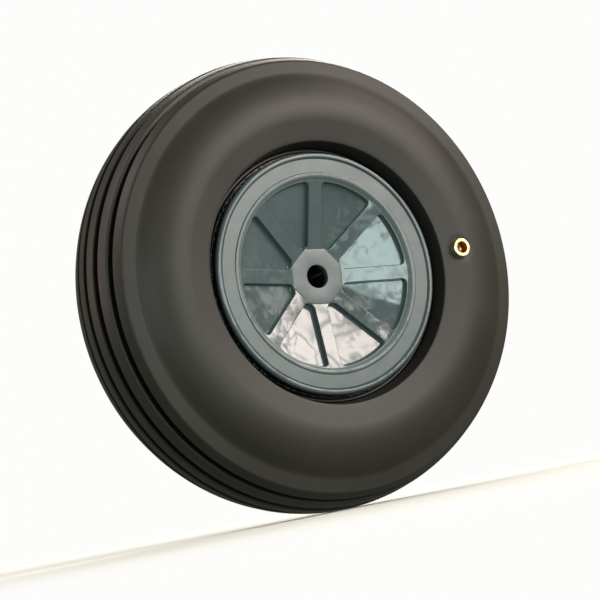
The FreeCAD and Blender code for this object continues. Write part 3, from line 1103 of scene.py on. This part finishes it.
    def build(self) -> None:
        """Model the tyre, dress it and hand it over."""
        tyre = self.outside()
        self.sink_dimple(tyre)
        combine(tyre, self.chamber(), "DIFFERENCE")
        boss = self.rod(self.boss_radius, self.boss_start, self.boss_length, self.boss_sides)
        combine(tyre, boss, "UNION")
        hole_start = -self.boss_length / 2
        hole_length = self.boss_start + self.boss_length - 2 * hole_start
        hole = self.rod(self.valve_hole_radius, hole_start, hole_length, self.rod_sides)
        combine(tyre, hole, "DIFFERENCE")
        recess = self.rod(self.recess_radius, self.recess_start, self.recess_length, self.rod_sides)
        combine(tyre, recess, "DIFFERENCE")
        smooth(tyre, self.sharp_angle)
        apply_modifier(tyre, "WEIGHTED_NORMAL", keep_sharp=True)
        dress(tyre, self.finish.material("tyre_rubber_moulded", self))
        hand_over(tyre, Body.WHEEL, "tyre")


# ---------------------------------------------------------------- the hub


@dataclass
class HubHalf:
    """One moulded half of the hub: flange, lip, dished web, spokes, boss and half of the barrel.

    Sizes are in millimetres; a height is measured from the middle plane towards this half's own face.
    """

    side: Side
    finish: MouldedNylon = MouldedNylon()
    flange_radius: float = 24.95
    flange_height: float = 12.95
    flange_inner: float = 11.2
    seat_radius: float = 22.0
    barrel_wall: float = 1.6
    bead_width: float = 1.0
    bead_rise: float = 0.35
    bead_ease: float = 0.6
    line_width: float = 0.35  # the fine line just inside the bead
    line_depth: float = 0.25
    lip_radius: float = 19.95
    lip_width: float = 0.85
    lip_rise: float = 0.2
    wall_foot_radius: float = 19.35
    pocket_radius: float = 19.1
    floor_drop: float = 1.25  # how far the pockets lie under the spokes' tops
    spoke_height: float = 12.2
    spoke_width: float = 3.0
    spoke_count: int = 8
    clocking: float = -5.5  # degrees
    web_thickness: float = 1.5
    boss_radius: float = 6.0
    boss_flat: float = 5.8
    boss_height: float = 8.8
    tube_radius: float = 4.8
    bore_radius: float = 2.38
    bore_ease: float = 0.15
    corner_radius: float = 1.0
    boss_fillet: float = 0.55
    lap_length: float = 2.0
    lap_clearance: float = 0.05
    spigot_radius: float = 3.6
    spigot_length: float = 3.0
    spigot_clearance: float = 0.05
    spigot_ease: float = 0.2
    back_ease: float = 0.5
    root_sink: float = 0.6  # how far a spoke's root is sunk into the boss's tube
    root_width: float = 2.4
    root_gap: float = 0.1  # how far inside the boss's flat its fillet starts
    root_ease: float = 0.3
    tip_reach: float = 0.05  # how far its tip passes the pockets' wall
    tip_angle: float = 10.0  # degrees to either side at which its flare ends
    tip_sink: float = 0.3  # how far it is sunk into the lip
    tip_flare: float = 1.6  # how much further it reaches there to each side
    slab_height: float = 3.0  # to which its outline is raised before its top is sloped
    slab_sink: float = 0.5  # how far it goes on under the pockets' floor
    top_ease: float = 0.16  # softening of its upper edges
    top_steps: int = 3
    boss_wall_reach: float = 0.6  # how far from the boss's wall a point still belongs to it
    boss_wall_foot: float = 0.2  # how far down it goes past the pockets' floor
    sharp_angle: float = 35.0
    spin_steps: int = 192

    def top(self, radius: float) -> float:
        """Return the height of the spokes' sloping tops at this radius."""
        slope = (self.spoke_height - self.boss_height) / (self.pocket_radius - self.boss_radius)
        return self.boss_height + slope * (radius - self.boss_radius)

    def floor(self, radius: float) -> float:
        """Return the height of the pockets' sloping floor at this radius."""
        return self.top(radius) - self.floor_drop

    def face(self) -> list[Corner]:
        """Return the section's corners on the visible face.

        Returns:
            The corners from the bore out to the flange's back.
        """
        high = self.flange_height + self.lip_rise
        bead_in = self.flange_radius - self.bead_width
        bead_high = self.flange_height + self.bead_rise
        return [
            Corner(self.bore_radius, self.boss_height, self.bore_ease),
            Corner(self.boss_radius, self.boss_height, 0.3),
            Corner(self.boss_radius + 0.1, self.floor(self.boss_radius), 0.3),
            Corner(self.pocket_radius, self.floor(self.pocket_radius), 0.35),
            Corner(self.pocket_radius + 0.1, self.spoke_height, 0.1, 2),
            Corner(self.wall_foot_radius, self.spoke_height, 0.08, 2),
            Corner(self.lip_radius, high, 0.2),
            Corner(self.lip_radius + self.lip_width - self.lip_rise / 2, high, 0.12),
            Corner(self.lip_radius + self.lip_width, self.flange_height, 0.08),
            Corner(bead_in - self.line_width, self.flange_height, 0.08, 2),
            Corner(bead_in - self.line_width / 2, self.flange_height - self.line_depth, 0.05, 2),
            Corner(bead_in, bead_high, 0.12, 3),
            Corner(self.flange_radius - self.bead_ease / 2, bead_high, 0.25, 4),
            Corner(self.flange_radius, bead_high - self.bead_ease, 0.2, 4),
            Corner(self.flange_radius, self.flange_inner, 0.1, 2),
            Corner(self.seat_radius, self.flange_inner),
        ]

    def barrel(self) -> list[Corner]:
        """Return the barrel's end, where the front one laps over the rear one.

        Returns:
            Its corners from the outside in.
        """
        inner = self.seat_radius - self.barrel_wall
        lap = self.seat_radius - self.barrel_wall / 2
        end = -self.lap_length
        if self.side is Side.REAR:
            lap -= self.lap_clearance
            end = self.lap_length + self.lap_clearance
        return [Corner(self.seat_radius, end), Corner(lap, end), Corner(lap, 0.0), Corner(inner, 0.0)]

    def back(self) -> list[Corner]:
        """Return the hidden side of the web and the boss's tube, with its spigot or socket.

        Returns:
            The corners from the barrel back to the bore.
        """
        inner = self.seat_radius - self.barrel_wall
        under = [
            Corner(inner, self.floor(inner) - self.web_thickness, self.back_ease),
            Corner(self.tube_radius, self.floor(self.tube_radius) - self.web_thickness, self.back_ease),
            Corner(self.tube_radius, 0.0),
        ]
        wall, end, ease = self.spigot_radius, -self.spigot_length, self.spigot_ease
        if self.side is Side.REAR:
            wall, end, ease = wall + self.spigot_clearance, self.spigot_length + self.spigot_clearance, 0.0
        return under + [Corner(wall, 0.0), Corner(wall, end, ease), Corner(self.bore_radius, end)]

    def spoke_outline(self) -> list[Corner]:
        """Return one spoke's outline from above, flared into the boss and the rim.

        Returns:
            Corners whose radius runs along the spoke and whose height runs across it.
        """
        half = self.spoke_width / 2
        rim_end = math.radians(self.tip_angle)
        outer = self.pocket_radius * math.cos(math.asin(half / self.pocket_radius))
        rim = self.pocket_radius + self.tip_reach
        side = [
            Corner(self.tube_radius - self.root_sink, self.root_width / 2),
            Corner(self.boss_flat - self.root_gap, half + self.boss_fillet + self.root_gap),
            Corner(self.boss_flat + self.boss_fillet, half, self.root_ease),
            Corner(outer, half, self.corner_radius, 6),
            Corner(rim * math.cos(rim_end), rim * math.sin(rim_end)),
            Corner(self.lip_radius + self.tip_sink, half + self.tip_flare),
        ]
        return side + mirrored(side)

    def spoke(self, number: int) -> Piece:
        """Return one spoke: its outline raised to a slab, with a sloping top and softened upper edges.

        Args:
            number: Which spoke it is, counted from +X towards +Z.

        Returns:
            The spoke, in its place.
        """
        piece = draw_loop("spoke", self.spoke_outline())
        make_active(piece)
        bpy.ops.object.mode_set(mode="EDIT")
        bpy.ops.mesh.select_all(action="SELECT")
        bpy.ops.mesh.edge_face_add()
        bpy.ops.mesh.extrude_region_move(TRANSFORM_OT_translate={"value": (0, 0, self.slab_height * MM)})
        bpy.ops.object.mode_set(mode="OBJECT")
        piece.data.transform(Matrix.Rotation(math.pi / 2, 4, "X"))
        for vertex in piece.data.vertices:
            raised = vertex.co.y < -MM
            level = self.top(vertex.co.x / MM)
            vertex.co.y = -(level if raised else level - self.floor_drop - self.slab_sink) * MM
        face_outwards(piece)
        select_where(piece, "FACE", lambda face: face.normal.y < -UPRIGHT)
        bpy.ops.mesh.region_to_loop()
        bpy.ops.mesh.bevel(
            offset=self.top_ease * MM, segments=self.top_steps, affect="EDGES", clamp_overlap=True
        )
        bpy.ops.object.mode_set(mode="OBJECT")
        place(piece, number * CIRCLE / self.spoke_count)
        return piece

    def flatten_boss(self, half: Piece) -> None:
        """Push the boss's round wall out to eight sides, one square to each spoke.

        Args:
            half: The half's turned form.
        """
        step = FULL_TURN / self.spoke_count
        for vertex in half.data.vertices:
            radius = math.hypot(vertex.co.x, vertex.co.z) / MM
            foot = (self.floor(self.boss_radius) - self.boss_wall_foot) * MM
            if abs(radius - self.boss_radius) > self.boss_wall_reach or vertex.co.y > -foot:
                continue
            angle = math.atan2(vertex.co.z, vertex.co.x)
            off_spoke = (angle + step / 2) % step - step / 2
            share = self.boss_flat / math.cos(off_spoke) / self.boss_radius
            vertex.co.x *= share
            vertex.co.z *= share

    def build(self, name: str, node: str) -> None:
        """Model the half, turn it to its side, dress it and hand it over.

        Args:
            name: The piece's name.
            node: The frame's node that it replaces.
        """
        half = turn_section(name, self.face() + self.barrel() + self.back(), self.spin_steps)
        self.flatten_boss(half)
        spokes = [self.spoke(number) for number in range(self.spoke_count)]
        make_active(spokes[0])
        for spoke in spokes[1:]:
            spoke.select_set(True)
        bpy.ops.object.join()
        combine(half, spokes[0], "UNION")
        place(half, self.clocking)
        if self.side is Side.REAR:
            half.data.transform(Matrix.Scale(-1, 4, Vector((0, 1, 0))))
            half.data.flip_normals()
        smooth(half, self.sharp_angle)
        apply_modifier(half, "WEIGHTED_NORMAL", keep_sharp=True)
        dress(half, self.finish.material("hub_nylon_" + self.side.value, self))
        hand_over(half, Body.WHEEL, node)


# ---------------------------------------------------------------- the valve


@dataclass
class Valve:
    """The air valve: turned body, sprung poppet with its seal, and the retainer that the spring stands on.

    Sizes are in millimetres; a depth is measured inwards from the valve's mouth.
    """

    place: ValvePlace
    steps: int = 64
    body_radius: float = 1.95
    body_length: float = 8.4
    collar_radius: float = 2.4
    collar_depth: float = 4.0
    collar_length: float = 0.8
    socket_radius: float = 1.175
    socket_depth: float = 2.1
    relief_radius: float = 1.45
    relief_depth: float = 3.0
    seat_hole: float = 0.75
    seat_thickness: float = 0.6
    chamber_radius: float = 1.45
    stem_radius: float = 0.45
    stem_rise: float = 0.8
    head_radius: float = 1.15
    head_thickness: float = 0.6
    guide_length: float = 2.2
    seal_thickness: float = 0.5
    retainer_thickness: float = 0.8
    retainer_hole: float = 0.7
    coil_radius: float = 0.85
    wire_radius: float = 0.11
    turns: int = 5
    wire_sides: int = 8
    turn_steps: int = 24
    bore_gap: float = 0.1  # how far past the socket's wall the drilled finish reaches
    travel: float = 0.8  # how far the stem can be pressed in
    sharp_angle: float = 35.0
    wire_angle: float = 60.0

    def turned(self, name: str, corners: Sequence[tuple[float, float, float]]) -> Piece:
        """Turn a section and put it on the valve's axis.

        Args:
            name: The piece's name.
            corners: The section's corners as (radius, depth, ease).

        Returns:
            The turned piece, in its place.
        """
        section = [Corner(radius, -depth, ease) for radius, depth, ease in corners]
        piece = turn_section(name, section, self.steps)
        place(piece, shift=self.place.axis)
        smooth(piece, self.sharp_angle)
        return piece

    def body(self) -> Piece:
        """Turn the body, with its rounded mouth, socket, seat, chamber and collar.

        Returns:
            The piece.
        """
        seat_end = self.relief_depth + self.seat_thickness
        collar_end = self.collar_depth + self.collar_length
        return self.turned(
            "valve_barrel",
            [
                (self.socket_radius, 0.0, 0.14),
                (self.body_radius, 0.0, 0.17),
                (self.body_radius, self.collar_depth, 0.0),
                (self.collar_radius, self.collar_depth, 0.1),
                (self.collar_radius, collar_end, 0.1),
                (self.body_radius, collar_end, 0.0),
                (self.body_radius, self.body_length, 0.2),
                (self.chamber_radius, self.body_length, 0.1),
                (self.chamber_radius, seat_end, 0.0),
                (self.seat_hole, seat_end, 0.08),
                (self.seat_hole, self.relief_depth, 0.08),
                (self.relief_radius, self.relief_depth, 0.0),
                (self.relief_radius, self.socket_depth, 0.0),
                (self.socket_radius, self.socket_depth, 0.05),
            ],
        )

    def head_depth(self) -> float:
        """Return how deep the poppet's head starts."""
        return self.relief_depth + self.seat_thickness + self.seal_thickness

    def poppet(self) -> Piece:
        """Turn the poppet: a domed stem, its head and the guide inside the spring.

        Returns:
            The piece.
        """
        head = self.head_depth()
        tail = head + self.head_thickness
        return self.turned(
            "valve_stem",
            [
                (0.0, self.relief_depth - self.stem_rise, 0.0),
                (self.stem_radius, self.relief_depth - self.stem_rise, 0.18),
                (self.stem_radius, head, 0.0),
                (self.head_radius, head, 0.06),
                (self.head_radius, tail, 0.1),
                (self.stem_radius, tail, 0.08),
                (self.stem_radius, tail + self.guide_length, 0.12),
                (0.0, tail + self.guide_length, 0.0),
            ],
        )

    def seal(self) -> Piece:
        """Model the washer that closes against the seat.

        Returns:
            The piece.
        """
        top = self.relief_depth + self.seat_thickness
        ring = [(self.stem_radius, top), (self.head_radius, top)]
        ring += [(self.head_radius, self.head_depth()), (self.stem_radius, self.head_depth())]
        return self.turned("valve_washer", [(radius, depth, 0.06) for radius, depth in ring])

    def retainer(self) -> Piece:
        """Turn the ring that the spring stands on.

        Returns:
            The piece.
        """
        start = self.body_length - self.retainer_thickness
        ring = [(self.retainer_hole, start), (self.chamber_radius, start)]
        ring += [(self.chamber_radius, self.body_length), (self.retainer_hole, self.body_length)]
        return self.turned("valve_end_ring", [(radius, depth, 0.08) for radius, depth in ring])

    def spring(self) -> Piece:
        """Wind the coil spring by screwing a small ring along the valve's axis.

        Returns:
            The piece.
        """
        start = self.head_depth() + self.head_thickness + self.wire_radius
        length = self.body_length - self.retainer_thickness - self.wire_radius - start
        deselect_all()
        bpy.ops.mesh.primitive_circle_add(
            vertices=self.wire_sides,
            radius=self.wire_radius * MM,
            location=(self.coil_radius * MM, 0, 0),
            fill_type="NGON",
        )
        piece = bpy.context.object
        piece.name = "valve_coil"
        bpy.ops.object.transform_apply(location=True, rotation=True, scale=True)
        apply_modifier(
            piece,
            "SCREW",
            axis="Y",
            angle=FULL_TURN,
            screw_offset=length * MM / self.turns,
            iterations=self.turns,
            steps=self.turn_steps,
            render_steps=self.turn_steps,
        )
        face_outwards(piece)
        place(piece, shift=self.place.axis + Vector((0, start * MM, 0)))
        smooth(piece, self.wire_angle)
        return piece

    def build(self) -> None:
        """Model, dress and hand over the five pieces."""
        centre = tuple(self.place.axis)
        bore = self.socket_radius + self.bore_gap
        brass = TurnedMetal("#FFF1CF", "#EBCB86", 0.18, 0.12, centre, bore).material("brass_turned_bright")
        steel = TurnedMetal("#B9B7B2", "#8F8D89", 0.3, 0.2, centre).material("spring_steel_drawn")
        washer = SealRubber().material("seal_rubber_cut")
        for piece, body, slot, node, material in (
            (self.body(), Body.WHEEL, Slot.BRASS, "valve_body", brass),
            (self.poppet(), Body.CORE, Slot.BRASS, "valve_poppet", brass),
            (self.seal(), Body.CORE, Slot.SEAL, "valve_seal", washer),
            (self.retainer(), Body.WHEEL, Slot.BRASS, "valve_retainer", brass),
            (self.spring(), Body.WHEEL, Slot.SPRING, "valve_spring", steel),
        ):
            dress(piece, material)
            hand_over(piece, body, node)
            if node == "valve_spring":
                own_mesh(piece)


# ---------------------------------------------------------------- the studio


@dataclass(frozen=True)
class SoftLamp:
    """A soft rectangular lamp that faces the wheel.

    Args:
        name: The lamp's name.
        azimuth: Its azimuth about the wheel in degrees; 0 is straight in front.
        elevation: Its elevation in degrees.
        width: Its width in metres.
        height: Its height in metres.
        watts: Its power.
        tint: Its colour as an sRGB hex value.
        distance: How far it stands from the wheel's middle, in metres.
    """

    name: str
    azimuth: float
    elevation: float
    width: float
    height: float
    watts: float
    tint: str
    distance: float = 0.7

    def build(self) -> None:
        """Add the lamp to the scene."""
        data = bpy.data.lights.new(self.name, "AREA")
        data.shape = "RECTANGLE"
        data.size = self.width
        data.size_y = self.height
        data.energy = self.watts
        data.color = colour(self.tint)[:3]
        lamp = bpy.data.objects.new(self.name, data)
        bpy.context.scene.collection.objects.link(lamp)
        lamp.location = direction(self.azimuth, self.elevation) * self.distance
        lamp.rotation_euler = (-lamp.location).to_track_quat("-Z", "Y").to_euler()
        lamp.visible_camera = False


LAMPS = (
    SoftLamp("key_box", 36.0, 25.5, 0.43, 0.20, watts=2.7, tint="#FFF2EA"),
    SoftLamp("front_panel", 27.0, 6.0, 0.50, 0.20, watts=0.86, tint="#FFF5EA"),
    SoftLamp("low_pale_card", 3.5, 2.5, 0.078, 0.12, watts=0.18, tint="#E2FBF6", distance=0.33),
    SoftLamp("side_card", 62.0, 12.0, 0.14, 0.14, watts=0.10, tint="#FFFFF8"),
    SoftLamp("left_window", -42.0, 6.0, 0.40, 0.25, watts=0.95, tint="#F0FFF6"),
    SoftLamp("right_high_box", 75.0, 40.0, 0.30, 0.30, watts=0.7, tint="#FFF2E8"),
    SoftLamp("rear_left_box", -126.0, 15.0, 0.40, 0.35, watts=0.75, tint="#FFEADC"),
    SoftLamp("left_high_box", -112.0, 48.0, 0.40, 0.35, watts=1.3, tint="#FFF6EE"),
    SoftLamp("rear_right_box", 140.0, 28.0, 0.50, 0.40, watts=4.0, tint="#FFF8F0"),
)


@dataclass
class Studio:
    """The pale floor, the soft lights and the camera.

    Args:
        focal: The lens's focal length, in millimetres.
        sensor: The sensor's width, in millimetres.
        clip: The nearest and farthest distance that the camera sees, in metres.
        distance: From the camera to the plane of the wheel's middle, in metres.
        azimuth: The camera's azimuth in degrees; 0 looks along +Y.
        elevation: Its elevation in degrees.
        roll: How far the camera leans about its own axis, in degrees.
        off_axis: Where the wheel's middle stands from the camera's axis, to the right and up, in metres.
        floor_radius: The floor's radius in metres.
        floor_gap: How far the floor lies under the tyre, in metres.
        floor_sides: How many sides the floor has.
        card: The colour of the floor's card.
        shade_radius: Within this distance of the middle the floor shows its shadows in full, in metres.
        glow_radius: Beyond this distance it is as white as the surroundings, in metres.
        table_light: How strongly the floor glows of itself, as a light table does.
        white: The colour the camera sees behind the wheel.
        ambient: The colour of the soft light from all round.
        ambient_strength: How strong that light is.
    """

    focal: float = 132.0
    sensor: float = 36.0
    clip: tuple[float, float] = (0.01, 50.0)
    distance: float = 0.4564
    azimuth: float = -29.375
    elevation: float = -5.0
    roll: float = 11.05
    off_axis: tuple[float, float] = (-0.00052, 0.00333)
    floor_radius: float = 1.2
    floor_gap: float = 0.02 * MM
    floor_sides: int = 128
    card: str = "#F7F7F5"
    shade_radius: float = 0.06
    glow_radius: float = 0.26
    table_light: float = 0.05
    white: str = "#FDFDFC"
    ambient: str = "#F6FFE8"
    ambient_strength: float = 0.175

    def camera(self) -> None:
        """Add the camera and make it the scene's."""
        back = direction(self.azimuth, self.elevation)
        level = direction(self.azimuth + 90.0, 0.0)
        upright = back.cross(level)
        roll = math.radians(self.roll)
        right = level * math.cos(roll) - upright * math.sin(roll)
        up = level * math.sin(roll) + upright * math.cos(roll)
        data = bpy.data.cameras.new("camera")
        data.lens = self.focal
        data.sensor_width = self.sensor
        data.clip_start, data.clip_end = self.clip
        camera = bpy.data.objects.new("camera", data)
        bpy.context.scene.collection.objects.link(camera)
        turn = Matrix((right, up, back)).transposed().to_4x4()
        where = back * self.distance - right * self.off_axis[0] - up * self.off_axis[1]
        camera.matrix_world = Matrix.Translation(where) @ turn
        bpy.context.scene.camera = camera

    def floor_material(self) -> bpy.types.Material:
        """Make the floor's white card, which shows shadows near the wheel and fades to plain white.

        Returns:
            The material.
        """
        material, tree, spot = new_material("floor_white_card")
        paper = add_node(tree, "BsdfDiffuse", {"Color": colour(self.card)}, {})
        lit = add_node(tree, "Emission", {"Color": colour(self.white), "Strength": self.table_light}, {})
        card = add_node(tree, "AddShader", {}, {0: paper, 1: lit})
        glow = add_node(tree, "Emission", {"Color": colour(self.white), "Strength": 1.0}, {})
        flat = add_node(tree, "VectorMath", {"operation": "MULTIPLY", 1: (1.0, 1.0, 0.0)}, {0: spot})
        far = add_node(tree, "VectorMath", {"operation": "LENGTH"}, {0: flat}, output=1)
        fade = add_node(
            tree,
            "MapRange",
            {"interpolation_type": "SMOOTHSTEP", "From Min": self.shade_radius, "From Max": self.glow_radius},
            {"Value": far},
        )
        both = add_node(tree, "MixShader", {}, {0: fade, 1: card, 2: glow})
        add_node(tree, "OutputMaterial", {}, {"Surface": both})
        return material

    def floor(self) -> None:
        """Add the pale floor just under the tyre."""
        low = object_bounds()[0]
        deselect_all()
        bpy.ops.mesh.primitive_circle_add(
            vertices=self.floor_sides,
            radius=self.floor_radius,
            fill_type="NGON",
            location=(0, 0, low[2] - self.floor_gap),
        )
        floor = bpy.context.object
        floor.name = "floor"
        bpy.ops.object.transform_apply(location=True)
        dress(floor, self.floor_material())
        floor.visible_diffuse = False
        floor.visible_glossy = False
        floor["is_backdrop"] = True

    def world(self) -> None:
        """Set the surroundings: white to the camera, a soft dim room to what the wheel reflects."""
        world = bpy.data.worlds.new("studio_surroundings")
        bpy.context.scene.world = world
        world.use_nodes = True
        tree = world.node_tree
        tree.nodes.clear()
        seen = add_node(tree, "Background", {"Color": colour(self.white), "Strength": 1.0}, {})
        dim = {"Color": colour(self.ambient), "Strength": self.ambient_strength}
        room = add_node(tree, "Background", dim, {})
        camera_ray = add_node(tree, "LightPath", {}, {})
        both = add_node(tree, "MixShader", {}, {0: camera_ray, 1: room, 2: seen})
        add_node(tree, "OutputWorld", {}, {"Surface": both})

    def build(self) -> None:
        """Set up floor, lamps, surroundings and camera."""
        self.floor()
        for lamp in LAMPS:
            lamp.build()
        self.world()
        self.camera()
        view = bpy.context.scene.view_settings
        view.view_transform = "Standard"
        view.look = "None"
        view.exposure = 0.0
        log.info("studio: %d lamps", len(LAMPS))


# ---------------------------------------------------------------- the whole wheel


def main() -> None:
    """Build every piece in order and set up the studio."""
    logging.basicConfig(level=logging.INFO, format="%(name)s %(message)s")
    where = ValvePlace()
    Tyre(where).build()
    HubHalf(Side.FRONT).build("hub_front", "front_hub")
    HubHalf(Side.REAR).build("hub_rear", "rear_hub")
    Valve(where).build()
    Studio().build()


if __name__ == "__main__":
    main()
